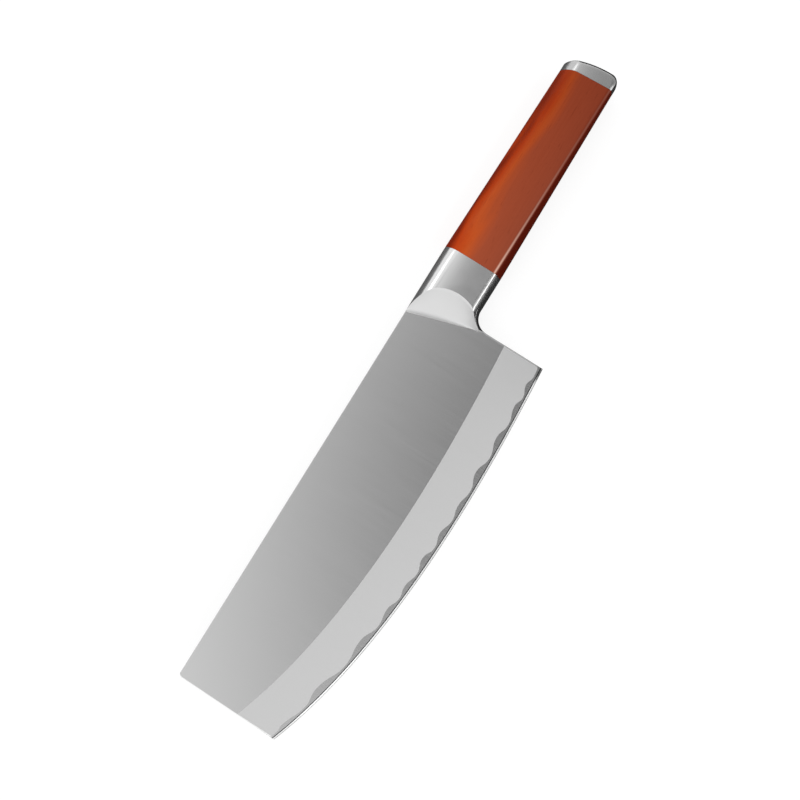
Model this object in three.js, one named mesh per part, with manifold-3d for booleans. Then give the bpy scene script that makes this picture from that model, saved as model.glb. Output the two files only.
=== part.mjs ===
// A slicing cleaver with a laminated blade, a cast steel bolster, a bored hardwood grip and a steel end cap.
// Millimetres. The knife lies on its side: +X runs from the tip to the butt, +Y from the cutting edge
// to the spine, and +Z is square to the blade. While it is built, x = 0 is the heel, y = 0 the spine
// and z = 0 the middle of the blade.

import * as THREE from "three";
import { mergeVertices } from "three/addons/utils/BufferGeometryUtils.js";
import Module from "manifold-3d";

const wasm = await Module();
wasm.setup();

// Blade outline
const bladeLength = 188; // heel to the lower corner of the tip
const heelHeight = 60.7; // spine to cutting edge at the heel
const tipHeight = 47.4; // spine to cutting edge at the tip
const heelEdgeAngle = 4.9; // degrees that the edge drops away as it leaves the heel
const tipEdgeAngle = 19.8; // degrees that the edge climbs as it reaches the tip
const tipLean = 2; // degrees that the blade's end leans from square
const tipCornerRadius = 1.6; // round at the spine end of the tip

// Blade section
const bladeThickness = 2.2;
const spineEase = 0.3; // small flat that breaks the two corners of the spine
const bevelWidth = 18.6; // wide ground bevel, measured up from the edge
const edgeBevelWidth = 1.2; // narrow sharpened bevel
const thicknessBehindEdge = 0.56; // where the wide bevel meets the sharpened one
const edgeLand = 0.08; // flat left at the very edge

// Three-layer laminate: the hard core shows below a wavy line that the wide bevel cuts through the cladding
const coreThickness = 0.44;
const laminateTrough = 1.9; // the line's low points, above the edge
const laminateCrests = [
  { fromHeel: 0, height: 2.7 },
  { fromHeel: 9.2, height: 3.2 },
  { fromHeel: 19.2, height: 3.3 },
  { fromHeel: 34.2, height: 3.6 },
  { fromHeel: 50.6, height: 3.9 },
  { fromHeel: 66, height: 3.1 },
  { fromHeel: 79.4, height: 3.4 },
  { fromHeel: 92.2, height: 3.7 },
  { fromHeel: 105.5, height: 3.1 },
  { fromHeel: 117.2, height: 3.3 },
  { fromHeel: 134, height: 3.9 },
  { fromHeel: 160, height: 4.2 },
  { fromHeel: 181, height: 2.9 },
];

// Weld between the blade and the bolster, and the tongue that locates it
const weldSetback = 10.5; // at the spine, in front of the heel
const weldAngle = 18; // degrees from square
const weldGap = 0.05;
const tongueDepth = 11; // behind the heel
const tongueTop = 7; // below the spine
const tongueHeight = 12;
const tongueThickness = 1.4;
const pocketClearance = 0.1;

// Bolster
const bolsterLength = 21.5; // heel to the grip
const heelFilletRadius = 6.6; // between the bolster's underside and the heel
const archRadius = 17.9; // the scoop's rim on the bolster's flat side
const archCentreForward = 11.2; // of the rim's centre, in front of the heel
const archCentreDrop = 15; // of the rim's centre, below the spine
const scoopStart = 0.62; // how steeply the scoop leaves the blade: 1 is a straight ramp

// Grip section at the bolster and at the end cap
const gripLength = 87;
const frontHeight = 26.5;
const rearHeight = 23.5;
const rearTopDrop = 1.7; // the top line's fall from the bolster to the cap
const frontBellyThickness = 17.6; // across the two lower arrises
const rearBellyThickness = 18.2;
const frontShoulderThickness = 16.8; // across the two upper shoulders
const rearShoulderThickness = 17.6;
const frontBellySag = 3.2; // crown of the underside below its arrises
const rearBellySag = 1.3;
const arrisRound = 0.8; // on the lower arrises, and on the rim of the bolster's scoop
const shoulderDrop = 6; // crown of the top above its shoulders
const frontTopRoundness = 2; // 2 is a round top, 1 a straight roof
const rearTopRoundness = 1.25;

// End cap
const capLength = 7.1; // at its furthest point
const buttRadius = 70; // arc of the butt, seen from the side
const buttApexDrop = 21.5; // the butt's furthest point, below the spine
const capTopCorner = 0.6;
const capBottomCorner = 3.2;
const capRimRound = 2.2; // how far the rim falls back at the flat sides
const spigotLength = 3.2;

// Tang, and the fastening inside the grip
const tangDiameter = 8;
const tangSocketDepth = 7; // into the bolster
const studDiameter = 6;
const beddingWall = 1.2; // cured resin between tang and grip
const washerDiameter = 13;
const washerThickness = 1.2;
const nutAcrossFlats = 10;
const nutThickness = 5;
const studOverrun = 1.5; // stud past the nut
const studEndRoom = 1; // between the stud's end and the cap's spigot
const counterboreDiameter = 14.4;
const fitClearance = 0.15; // radial, between round pieces and their seats

// Facets
const bladeStations = 60;
const waveSteps = 6; // from one trough or crest of the laminate line to the next
const scoopSteps = 14; // from the blade out to the flat side
const rimSteps = 16; // down the scoop's front
const undersideSteps = 12;
const crownSteps = 9; // from the middle of the handle to its flat side
const cornerSteps = 6;
const buttSteps = 10;
const gripStations = 12;
const roundSides = 32;
const halvings = 40; // of the stretch in which a crossing is searched for

const degree = Math.PI / 180;
const halfBlade = bladeThickness / 2;
const capStart = bolsterLength + gripLength;
const tangDrop = frontHeight / 2; // the tang runs along the middle of the grip
const { lerp, clamp } = THREE.MathUtils;

const steel = (color, roughness) => new THREE.MeshStandardMaterial({ color, roughness, metalness: 1 });
const materials = {
  claddingSteel: steel(0xb4b6b8, 0.34),
  coreSteel: steel(0x8c8e91, 0.3),
  castSteel: steel(0xc6c7c9, 0.24),
  plainSteel: steel(0x9a9c9f, 0.4),
  redwood: new THREE.MeshStandardMaterial({ color: 0x9c3d1c, roughness: 0.36, metalness: 0 }),
  resin: new THREE.MeshStandardMaterial({ color: 0x8a7a55, roughness: 0.5, metalness: 0 }),
};

// Closed surface through a stack of rings with equal point counts, with a fan over each end
function stackRings(rings) {
  const count = rings[0].length;
  const points = rings.flat();
  const triangles = [];
  for (let ring = 0; ring + 1 < rings.length; ring++) {
    for (let i = 0; i < count; i++) {
      const a = ring * count + i;
      const b = ring * count + ((i + 1) % count);
      triangles.push(a, b, b + count, a, b + count, a + count);
    }
  }
  const lastRing = points.length - count;
  const ends = [
    { first: 0, middle: middleOf(rings[0]), turned: true },
    { first: lastRing, middle: middleOf(rings.at(-1)), turned: false },
  ];
  for (const { first, middle, turned } of ends) {
    const hub = points.push(middle) - 1;
    for (let i = 0; i < count; i++) {
      const a = first + i;
      const b = first + ((i + 1) % count);
      triangles.push(hub, turned ? b : a, turned ? a : b);
    }
  }
  return new THREE.BufferGeometry().setFromPoints(points).setIndex(triangles);
}

function middleOf(ring) {
  const sum = ring.reduce((total, point) => total.add(point), new THREE.Vector3());
  return sum.divideScalar(ring.length);
}

// A closed geometry as a solid, with its faces turned outwards
function solidOf(geometry) {
  const bare = geometry.clone();
  bare.deleteAttribute("normal");
  bare.deleteAttribute("uv");
  const merged = mergeVertices(bare, 1e-4);
  const vertProperties = new Float32Array(merged.attributes.position.array);
  const triVerts = new Uint32Array(merged.index.array);
  const made = new wasm.Manifold(new wasm.Mesh({ numProp: 3, vertProperties, triVerts }));
  if (made.volume() > 0) return made;
  return new wasm.Manifold(new wasm.Mesh({ numProp: 3, vertProperties, triVerts: triVerts.reverse() }));
}

function geometryOf(solid) {
  const { vertProperties, triVerts } = solid.getMesh();
  const geometry = new THREE.BufferGeometry();
  geometry.setAttribute("position", new THREE.BufferAttribute(vertProperties, 3));
  geometry.setIndex(new THREE.BufferAttribute(triVerts, 1));
  geometry.computeVertexNormals();
  return geometry;
}

function prism(shape, bottom, top) {
  const geometry = new THREE.ExtrudeGeometry(shape, { depth: top - bottom, bevelEnabled: false });
  return solidOf(geometry.translate(0, 0, bottom));
}

// A piece turned about the tang's axis. The profile's points are [distance along x, radius].
function turned(profile) {
  const lathe = new THREE.LatheGeometry(
    profile.map(([along, radius]) => new THREE.Vector2(radius, along)),
    roundSides,
  );
  return solidOf(lathe.rotateZ(-Math.PI / 2).translate(0, -tangDrop, 0));
}

const rod = (from, to, radius) => turned([[from, 0], [from, radius], [to, radius], [to, 0]]);

const tube = (from, to, inner, outer) =>
  turned([[from, inner], [from, outer], [to, outer], [to, inner], [from, inner]]);

// The cutting edge, from the heel to the tip: one curve that leaves both ends at their given angles
function edgeCurve() {
  const heelSlope = Math.tan(heelEdgeAngle * degree);
  const tipSlope = Math.tan(tipEdgeAngle * degree);
  const reach = (tipSlope * bladeLength + tipHeight - heelHeight) / (tipSlope + heelSlope);
  return new THREE.QuadraticBezierCurve(
    new THREE.Vector2(0, -heelHeight),
    new THREE.Vector2(-reach, -heelHeight - heelSlope * reach),
    new THREE.Vector2(-bladeLength, -tipHeight),
  );
}

const edgePoints = edgeCurve().getPoints(bladeStations);

// Height of the cutting edge at any x, carried straight on past both ends
function edgeAt(x) {
  const next = edgePoints.findIndex((point) => point.x < x);
  const at = next < 0 ? bladeStations : Math.max(next, 1);
  const [a, b] = [edgePoints[at - 1], edgePoints[at]];
  return lerp(a.y, b.y, (x - a.x) / (b.x - a.x));
}

const weldAt = (y) => -weldSetback - y * Math.tan(weldAngle * degree);

// The blade's section at one x: spine, flat, wide bevel, sharpened bevel and edge, then the same back
function bladeRing(x) {
  const edge = edgeAt(x);
  const half = [
    [0, halfBlade - spineEase],
    [-spineEase, halfBlade],
    [edge + bevelWidth, halfBlade],
    [edge + edgeBevelWidth, thicknessBehindEdge / 2],
    [edge, edgeLand / 2],
  ];
  const upper = half.map(([y, z]) => new THREE.Vector3(x, y, z));
  const lower = half.map(([y, z]) => new THREE.Vector3(x, y, -z)).reverse();
  return [...upper, ...lower];
}

// Where the weld meets the fillet above the heel
function weldFoot() {
  const point = { angle: 0, x: 0, y: 0 };
  let low = 0;
  let high = Math.PI / 2;
  for (let i = 0; i < halvings; i++) {
    point.angle = (low + high) / 2;
    point.x = heelFilletRadius * (1 - Math.cos(point.angle));
    point.y = -frontHeight - heelFilletRadius * (1 - Math.sin(point.angle));
    if (point.x > weldAt(point.y)) high = point.angle;
    else low = point.angle;
  }
  return point;
}

// The blade's outline from above, run past the cutting edge
function bladeOutline() {
  const past = 10;
  const lowest = Math.min(...edgePoints.map((point) => point.y)) - past;
  const lean = Math.tan(tipLean * degree);
  const tipAt = (y) => -bladeLength + lean * (tipHeight + y);
  const foot = weldFoot();
  const filletCentre = -frontHeight - heelFilletRadius;
  const outline = new THREE.Shape();
  outline.moveTo(tipAt(0) + tipCornerRadius, 0);
  outline.lineTo(weldAt(0) - weldGap, 0);
  outline.lineTo(foot.x - weldGap, foot.y);
  outline.lineTo(0, filletCentre);
  outline.lineTo(0, lowest);
  outline.lineTo(tipAt(lowest), lowest);
  outline.lineTo(tipAt(-tipCornerRadius), -tipCornerRadius);
  outline.quadraticCurveTo(tipAt(0), 0, tipAt(0) + tipCornerRadius, 0);
  return outline;
}

function rectangle(left, right, bottom, top) {
  const outline = new THREE.Shape();
  outline.moveTo(left, bottom);
  outline.lineTo(right, bottom);
  outline.lineTo(right, top);
  outline.lineTo(left, top);
  return outline;
}

function bladeBlank() {
  const past = 5;
  const stations = edgePoints.map((point) => point.x);
  const ground = stackRings([past, ...stations, -bladeLength - past].map(bladeRing));
  const body = solidOf(ground).intersect(prism(bladeOutline(), -bladeThickness, bladeThickness));
  const tongueBottom = -tongueTop - tongueHeight;
  const tongue = rectangle(weldAt(-tongueTop) - past, tongueDepth, tongueBottom, -tongueTop);
  return body.add(prism(tongue, -tongueThickness / 2, tongueThickness / 2));
}

// Height of the laminate line above the edge: eased between crests and the troughs midway between them
function laminateKnots() {
  const crests = laminateCrests.filter(({ fromHeel }) => fromHeel < bladeLength);
  return crests.flatMap((crest, i) => {
    const next = crests[i + 1]?.fromHeel ?? bladeLength;
    return [crest, { fromHeel: (crest.fromHeel + next) / 2, height: laminateTrough }];
  });
}

// Everything on the spine's side of the laminate line, seen from above
function claddingOutline() {
  const past = 20;
  const knots = laminateKnots();
  const outline = new THREE.Shape();
  outline.moveTo(tongueDepth + past, past);
  outline.lineTo(-bladeLength - past, past);
  outline.lineTo(-bladeLength - past, edgeAt(-bladeLength - past) + laminateTrough);
  for (let k = knots.length - 1; k > 0; k--) {
    for (let step = 0; step < waveSteps; step++) {
      const share = step / waveSteps;
      const ease = (1 - Math.cos(Math.PI * share)) / 2;
      const x = -lerp(knots[k].fromHeel, knots[k - 1].fromHeel, share);
      outline.lineTo(x, edgeAt(x) + lerp(knots[k].height, knots[k - 1].height, ease));
    }
  }
  outline.lineTo(tongueDepth + past, edgeAt(0) + laminateTrough);
  return outline;
}

// Size of the handle's section at any x, from the bolster to the end cap
function sectionAt(x) {
  const share = clamp((x - bolsterLength) / gripLength, 0, 1);
  const top = lerp(0, -rearTopDrop, share);
  const bottom = top - lerp(frontHeight, rearHeight, share);
  const bellySag = lerp(frontBellySag, rearBellySag, share);
  const roundness = lerp(frontTopRoundness, rearTopRoundness, share);
  const bellyHalf = lerp(frontBellyThickness, rearBellyThickness, share) / 2;
  const shoulderHalf = lerp(frontShoulderThickness, rearShoulderThickness, share) / 2;
  return { top, bottom, bellySag, roundness, bellyHalf, shoulderHalf };
}

// Crown of the top and of the underside. Across runs from 0 in the middle to 1 at the flat side.
function topAt({ top, roundness }, across) {
  const level = (1 - across ** roundness) ** (1 / roundness);
  return top - shoulderDrop * (1 - level);
}

const crownAt = (section, across) => section.bellySag * across ** 2 + roundIn(section, across);

const bottomAt = (section, across) => section.bottom + crownAt(section, across);

// How far an outline draws in where the underside or the scoop turns into the flat side
function roundIn({ bellyHalf }, across) {
  const into = Math.max(across * bellyHalf - (bellyHalf - arrisRound), 0);
  return arrisRound - Math.sqrt(Math.max(arrisRound ** 2 - into ** 2, 0));
}

// The flat sides lean in from the lower arris upwards
function halfThickness({ top, bottom, bellySag, bellyHalf, shoulderHalf }, y) {
  const arris = bottom + bellySag + arrisRound;
  const shoulder = top - shoulderDrop;
  return lerp(bellyHalf, shoulderHalf, Math.max((y - arris) / (shoulder - arris), 0));
}

const range = (count, make) => Array.from({ length: count }, (_, i) => make(i));

// The grip's section at one x, as one ring
function gripRing(x) {
  const section = sectionAt(x);
  const crown = range(2 * crownSteps + 1, (i) => {
    const turn = ((i - crownSteps) / crownSteps) * (Math.PI / 2);
    return { side: Math.sign(turn), across: Math.abs(Math.sin(turn)) ** (2 / section.roundness) };
  });
  const belly = range(2 * crownSteps + 1, (i) => {
    const turn = ((crownSteps - i) / crownSteps) * (Math.PI / 2);
    return { side: Math.sign(turn), across: Math.abs(Math.sin(turn)) };
  });
  const place = (y, { side, across }) =>
    new THREE.Vector3(x, y, side * across * halfThickness(section, y));
  return [
    ...crown.map((point) => place(topAt(section, point.across), point)),
    ...belly.map((point) => place(bottomAt(section, point.across), point)),
  ];
}

// Inside of the grip, back from the end cap: spigot, room, stud, nut, washer
const spigotEnd = capStart - spigotLength;
const studEnd = spigotEnd - studEndRoom;
const nutEnd = studEnd - studOverrun;
const washerEnd = nutEnd - nutThickness;
const counterboreFloor = washerEnd - washerThickness;
const tangStart = bolsterLength - tangSocketDepth;
const boreRadius = tangDiameter / 2 + fitClearance + beddingWall + fitClearance;

function grip() {
  const stations = range(gripStations + 1, (i) => bolsterLength + (gripLength * i) / gripStations);
  const shell = stackRings(stations.map(gripRing));
  const past = 1;
  const bore = rod(bolsterLength - past, counterboreFloor + past, boreRadius);
  const counterbore = rod(counterboreFloor, capStart + past, counterboreDiameter / 2);
  return solidOf(shell).subtract(bore).subtract(counterbore);
}

// The scoop's front at a height y: from the weld (depth 0) to the rim on the flat side (depth 1)
function scoopAt(y, depth) {
  const rimDrop = y + archCentreDrop;
  const rim = -archCentreForward + Math.sqrt(Math.max(archRadius ** 2 - rimDrop ** 2, 0));
  return lerp(weldAt(y), Math.max(rim, weldAt(y)), depth);
}

// The bolster's underside, offset by its crown: the heel's fillet for the first quarter turn, then straight
function undersideAt(turn, crown) {
  const radius = heelFilletRadius + crown;
  const centreY = -frontHeight - heelFilletRadius;
  if (turn < Math.PI / 2) {
    return { x: heelFilletRadius - radius * Math.cos(turn), y: centreY + radius * Math.sin(turn) };
  }
  return { x: heelFilletRadius * (1 + turn - Math.PI / 2), y: centreY + radius };
}

// One level of the bolster, at a depth of the scoop: rear face, top, scoop and underside
function bolsterRing(depth, side) {
  const section = sectionAt(bolsterLength);
  const rise = scoopStart * depth + (1 - scoopStart) * depth ** 2;
  const level = lerp(halfBlade, section.bellyHalf, rise);
  const across = level / section.bellyHalf;
  const crown = crownAt(section, across);
  const top = topAt(section, across);
  const rearTurn = Math.PI / 2 + bolsterLength / heelFilletRadius - 1;
  const frontAt = (y) => scoopAt(y, depth) + roundIn(section, across);

  let footTurn = 0;
  let high = rearTurn;
  for (let i = 0; i < halvings; i++) {
    const middle = (footTurn + high) / 2;
    const { x, y } = undersideAt(middle, crown);
    if (x > frontAt(y)) high = middle;
    else footTurn = middle;
  }
  const foot = undersideAt(footTurn, crown);
  const front = range(rimSteps, (i) => {
    const y = lerp(top, foot.y, i / rimSteps);
    return { x: frontAt(y), y };
  });
  const underside = range(undersideSteps + 1, (i) =>
    undersideAt(lerp(footTurn, rearTurn, i / undersideSteps), crown),
  );
  const outline = [{ x: bolsterLength, y: top }, ...front, ...underside];
  return outline.map(({ x, y }) => {
    const z = depth === 0 ? halfBlade : across * halfThickness(section, y);
    return new THREE.Vector3(x, y, side * z);
  });
}

function bolster() {
  const depths = range(scoopSteps + 1, (i) => Math.sin(((i / scoopSteps) * Math.PI) / 2));
  const lower = depths.map((depth) => bolsterRing(depth, -1)).reverse();
  const upper = depths.map((depth) => bolsterRing(depth, 1));
  const body = solidOf(stackRings([...lower, ...upper]));
  const past = 1;
  const pocketHalf = tongueThickness / 2 + pocketClearance;
  const pocketTop = -tongueTop + pocketClearance;
  const pocketBottom = -tongueTop - tongueHeight - pocketClearance;
  const pocketEnd = tongueDepth + pocketClearance;
  const pocketOutline = rectangle(-weldSetback - past, pocketEnd, pocketBottom, pocketTop);
  const pocket = prism(pocketOutline, -pocketHalf, pocketHalf);
  const socket = rod(tangStart - fitClearance, bolsterLength + past, tangDiameter / 2 + fitClearance);
  return body.subtract(pocket).subtract(socket);
}

// Points along a circle, leaving out its last one
function arc(centreX, centreY, radius, from, to, steps) {
  return range(steps, (i) => {
    const angle = lerp(from, to, i / steps);
    return { x: centreX + radius * Math.cos(angle), y: centreY + radius * Math.sin(angle) };
  });
}

// One level of the end cap: top corner, butt arc and bottom corner. The rim falls back at the flat sides.
function capRing(across, side) {
  const section = sectionAt(capStart);
  const rimPower = 4;
  const fallBack = capRimRound * (1 - (1 - across ** rimPower) ** (1 / rimPower));
  const centreX = capStart + capLength - buttRadius - fallBack;
  const centreY = -buttApexDrop;
  const top = topAt(section, across);
  const bottom = bottomAt(section, across);
  const corner = (radius, y) => {
    const x = centreX + Math.sqrt((buttRadius - radius) ** 2 - (y - centreY) ** 2);
    return { x, y, angle: Math.atan2(y - centreY, x - centreX) };
  };
  const upper = corner(capTopCorner, top - capTopCorner);
  const lower = corner(capBottomCorner, bottom + capBottomCorner);
  const outline = [
    { x: capStart, y: top },
    ...arc(upper.x, upper.y, capTopCorner, Math.PI / 2, upper.angle, cornerSteps),
    ...arc(centreX, centreY, buttRadius, upper.angle, lower.angle, buttSteps),
    ...arc(lower.x, lower.y, capBottomCorner, lower.angle, -Math.PI / 2, cornerSteps),
    { x: lower.x, y: bottom },
    { x: capStart, y: bottom },
  ];
  return outline.map(({ x, y }) => new THREE.Vector3(x, y, side * across * halfThickness(section, y)));
}

function endCap() {
  const rings = range(2 * crownSteps + 1, (i) => {
    const turn = ((i - crownSteps) / crownSteps) * (Math.PI / 2);
    return capRing(Math.abs(Math.sin(turn)), Math.sign(turn));
  });
  const overlap = 1;
  const spigot = rod(spigotEnd, capStart + overlap, counterboreDiameter / 2 - fitClearance);
  return solidOf(stackRings(rings)).add(spigot);
}

function tang() {
  const shoulder = counterboreFloor - fitClearance;
  return turned([
    [tangStart, 0],
    [tangStart, tangDiameter / 2],
    [shoulder, tangDiameter / 2],
    [shoulder, studDiameter / 2],
    [studEnd, studDiameter / 2],
    [studEnd, 0],
  ]);
}

function bedding() {
  const inner = tangDiameter / 2 + fitClearance;
  return tube(bolsterLength, counterboreFloor - fitClearance, inner, inner + beddingWall);
}

const washer = () =>
  tube(counterboreFloor, washerEnd, studDiameter / 2 + fitClearance, washerDiameter / 2);

function nut() {
  const cornerRadius = nutAcrossFlats / Math.sqrt(3);
  const corner = (i) => {
    const angle = (i * Math.PI) / 3;
    return new THREE.Vector2(cornerRadius * Math.cos(angle), cornerRadius * Math.sin(angle));
  };
  const hexagon = new THREE.Shape(range(6, corner));
  hexagon.holes.push(new THREE.Path().absarc(0, 0, studDiameter / 2 + fitClearance, 0, 2 * Math.PI, true));
  const geometry = new THREE.ExtrudeGeometry(hexagon, {
    depth: nutThickness,
    bevelEnabled: false,
    curveSegments: roundSides / 2,
  });
  return solidOf(geometry.rotateY(Math.PI / 2).translate(washerEnd, -tangDrop, 0));
}

const knife = new THREE.Group();

function addPiece(name, solid, material) {
  const piece = new THREE.Mesh(geometryOf(solid), material);
  piece.name = name;
  knife.add(piece);
}

const blank = bladeBlank();
const upperCladding = prism(claddingOutline(), coreThickness / 2, bladeThickness);
const lowerCladding = prism(claddingOutline(), -bladeThickness, -coreThickness / 2);
addPiece("blade_core", blank.subtract(upperCladding).subtract(lowerCladding), materials.coreSteel);
addPiece("upper_cladding", blank.intersect(upperCladding), materials.claddingSteel);
addPiece("lower_cladding", blank.intersect(lowerCladding), materials.claddingSteel);
addPiece("bolster", bolster(), materials.castSteel);
addPiece("grip", grip(), materials.redwood);
addPiece("end_cap", endCap(), materials.castSteel);
addPiece("tang", tang(), materials.plainSteel);
addPiece("tang_bedding", bedding(), materials.resin);
addPiece("tang_washer", washer(), materials.plainSteel);
addPiece("tang_nut", nut(), materials.plainSteel);

// Set down on its side, with the middle of its footprint at the origin
const box = new THREE.Box3().setFromObject(knife);
const middle = box.getCenter(new THREE.Vector3());
knife.position.set(-middle.x, -middle.y, -box.min.z);

const cleaver = new THREE.Group();
cleaver.add(knife);
export default cleaver;
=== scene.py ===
"""Looks of a slicing cleaver, built round its CAD frame. Metres, in the CAD frame: +X runs from the
tip to the butt, +Y from the cutting edge to the spine, and +Z is square to the blade."""

import math

import bpy
import numpy as np
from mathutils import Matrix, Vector


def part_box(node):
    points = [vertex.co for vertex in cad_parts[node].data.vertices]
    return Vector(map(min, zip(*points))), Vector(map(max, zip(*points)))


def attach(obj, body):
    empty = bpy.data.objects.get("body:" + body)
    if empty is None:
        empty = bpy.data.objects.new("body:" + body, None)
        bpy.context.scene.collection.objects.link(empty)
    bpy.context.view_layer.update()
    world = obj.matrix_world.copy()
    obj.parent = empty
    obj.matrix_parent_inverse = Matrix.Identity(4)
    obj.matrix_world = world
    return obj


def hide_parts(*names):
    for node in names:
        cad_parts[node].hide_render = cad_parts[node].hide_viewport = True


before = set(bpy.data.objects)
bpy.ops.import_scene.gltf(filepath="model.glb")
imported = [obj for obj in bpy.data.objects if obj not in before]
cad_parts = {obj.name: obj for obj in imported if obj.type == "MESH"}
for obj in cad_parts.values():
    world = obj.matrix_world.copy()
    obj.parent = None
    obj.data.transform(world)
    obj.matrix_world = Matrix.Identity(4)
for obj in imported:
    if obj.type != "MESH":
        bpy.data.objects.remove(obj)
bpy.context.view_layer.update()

MM = 0.001

# Blade outline
HEEL_HEIGHT = 60.7 * MM
TIP_HEIGHT = 47.4 * MM
HEEL_EDGE_ANGLE = math.radians(4.9)
TIP_EDGE_ANGLE = math.radians(19.8)
TIP_LEAN = math.radians(2)
TIP_CORNER_RADIUS = 1.6 * MM

# Blade section, above and below the middle plane
BLADE_HALF = 1.1 * MM
CORE_HALF = 0.22 * MM
SPINE_EASE = 0.3 * MM
END_EASE = 0.22  # share of the cladding taken off along the tip and the heel
END_INSET = 0.15 * MM  # how far the eased ends lean in
BEVEL_WIDTH = 18.6 * MM
EDGE_BEVEL_WIDTH = 1.0 * MM
EDGE_ROUND = 0.2 * MM  # to each side of the line between the two bevels
HALF_BEHIND_EDGE = 0.34 * MM
HALF_EDGE_LAND = 0.03 * MM
BURR_WIDTH = 0.22 * MM  # the last turn of the edge, which carries a painted shade
BURR_HALF = 0.12 * MM

# The laminate line: crests as (from the heel, above the edge) in millimetres, with troughs midway
LAMINATE_TROUGH = 1.9
LAMINATE_CRESTS = (
    (0, 2.7), (9.2, 3.2), (19.2, 3.3), (34.2, 3.6), (50.6, 3.9), (66, 3.1), (79.4, 3.4),
    (92.2, 3.7), (105.5, 3.1), (117.2, 3.3), (134, 3.9), (160, 4.2), (181, 2.9),
)

# Bolster
WELD_SETBACK = 9.9 * MM
WELD_ANGLE = math.radians(17)
BOLSTER_LENGTH = 21.5 * MM
HEEL_FILLET = 6.6 * MM
ARCH_RADIUS = 17.9 * MM
ARCH_FORWARD = 11.4 * MM
ARCH_DROP = 15 * MM
SCOOP_START = 0.62  # share of the scoop's rise that is even; the rest steepens towards its rim
RIM_ROUND = 0.3  # the scoop's rim is crisper than the lower arris, by this share
WELD_BLEND = 0.2  # share of the scoop that is dressed down into the blade

# Handle section, at the bolster and at the end cap
FRONT = {
    "top": 0.0,
    "height": 26.5 * MM,
    "belly": 8.8 * MM,
    "shoulder": 8.4 * MM,
    "sag": 3.2 * MM,
    "power": 2.0,
}
REAR = {
    "top": -1.7 * MM,
    "height": 23.5 * MM,
    "belly": 9.1 * MM,
    "shoulder": 8.8 * MM,
    "sag": 1.3 * MM,
    "power": 1.55,
}
SHOULDER_DROP = 6 * MM
SIDE_POWER = 4  # the flat sides curve in mostly by the shoulders
ARRIS_RISE = 1.4 * MM  # the lower arrises' soft turn, up the side
ARRIS_DEPTH = 0.41 * MM  # and into it
ARRIS_POWER = 1.5
HIGHLIGHT_LIFT = 0.55 * MM  # the painted highlight line, above the turn's foot
HIGHLIGHT_REACH = 0.6 * MM
HIGHLIGHT_AT_CAP = 0.1  # share of the painted highlight that is left by the cap
HIGHLIGHT_FADE = 3
CAP_JOINT_LEAN = math.radians(3)  # the wood stands further back at the belly
JOINT_EASE = 0.12 * MM  # broken edges where wood and steel meet

# End cap
BUTT_RADIUS = 50 * MM
BUTT_APEX_DROP = 21.5 * MM
CAP_TOP_CORNER = 0.6 * MM
CAP_BOTTOM_CORNER = 3.2 * MM
CAP_RIM_ROUND = 2.2 * MM
CAP_RIM_POWER = 4

# How finely the pieces are drawn
STATIONS = 240  # columns along the blade
END_CROWDING = 0.2  # how much closer the columns stand at the tip and at the heel
END_REACH = 0.75 / STATIONS  # share that counts as an end: its points, and the faces beside them
ROW_GAP = 0.1 * MM  # least distance of the weld's row above the bevel's
CROWN_POINTS = 49
SIDE_POINTS = 14
BELLY_POINTS = 81
GRIP_RINGS = 61
BOLSTER_RINGS = 61
SCOOP_POINTS = 48
UNDERSIDE_POINTS = 33
CAP_RINGS = 51
CORNER_POINTS = 14
BUTT_POINTS = 28
JOINT_POINTS = 26  # up the faces that meet the wood
FILL_RINGS = 14  # over the flat sides of bolster and cap
HALVINGS = 40  # of the search for the scoop's foot

# The frame's places. Shapes are worked out from the datum: the heel, the spine and the middle plane.
GRIP_LOW, GRIP_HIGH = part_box("grip")
CORE_LOW, CORE_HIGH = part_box("blade_core")
DATUM = Vector((GRIP_LOW.x - BOLSTER_LENGTH, CORE_HIGH.y, (CORE_LOW.z + CORE_HIGH.z) / 2))
BLADE_LENGTH = DATUM.x - CORE_LOW.x
GRIP_LENGTH = GRIP_HIGH.x - GRIP_LOW.x
CAP_START = BOLSTER_LENGTH + GRIP_LENGTH
CAP_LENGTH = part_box("end_cap")[1].x - GRIP_HIGH.x

# Kinds of node that come up often
MATH = "ShaderNodeMath"
VECTOR_MATH = "ShaderNodeVectorMath"
MAP_RANGE = "ShaderNodeMapRange"
NOISE = "ShaderNodeTexNoise"
MIX = "ShaderNodeMix"


def colour(code):
    """Linear RGBA of an sRGB hex colour."""
    channels = [int(code[i:i + 2], 16) / 255 for i in (1, 3, 5)]
    return [c / 12.92 if c <= 0.04045 else ((c + 0.055) / 1.055) ** 2.4 for c in channels] + [1.0]


def connect(tree, node, inputs):
    """Gives each named input a value, or a link from a socket or from a node's first output."""
    for name, value in inputs.items():
        if isinstance(value, bpy.types.Node):
            value = value.outputs[0]
        if isinstance(value, bpy.types.NodeSocket):
            tree.links.new(value, node.inputs[name])
        else:
            node.inputs[name].default_value = value


def add_node(tree, kind, inputs=None, **settings):
    """Adds a node with its settings and its inputs."""
    node = tree.nodes.new(kind)
    for name, value in settings.items():
        setattr(node, name, value)
    connect(tree, node, inputs or {})
    return node


def new_material(name):
    """A material with its shader, ready for patterns."""
    material = bpy.data.materials.new(name)
    material.use_nodes = True
    tree = material.node_tree
    tree.nodes.clear()
    shader = add_node(tree, "ShaderNodeBsdfPrincipled")
    add_node(tree, "ShaderNodeOutputMaterial", {"Surface": shader})
    return material, tree, shader


# Finishes

NOISE_SPAN = {"From Min": 0.3, "From Max": 0.7}  # where most of a noise's values lie
LINE_STRETCH = 0.015  # share of the lines' fineness along their run, which draws them out
GROUND_SPREAD = 0.02  # how far the roughness strays to each side
POLISH_SPREAD = 0.03
POLISH_DEPTH = 0.02 * MM


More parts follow.
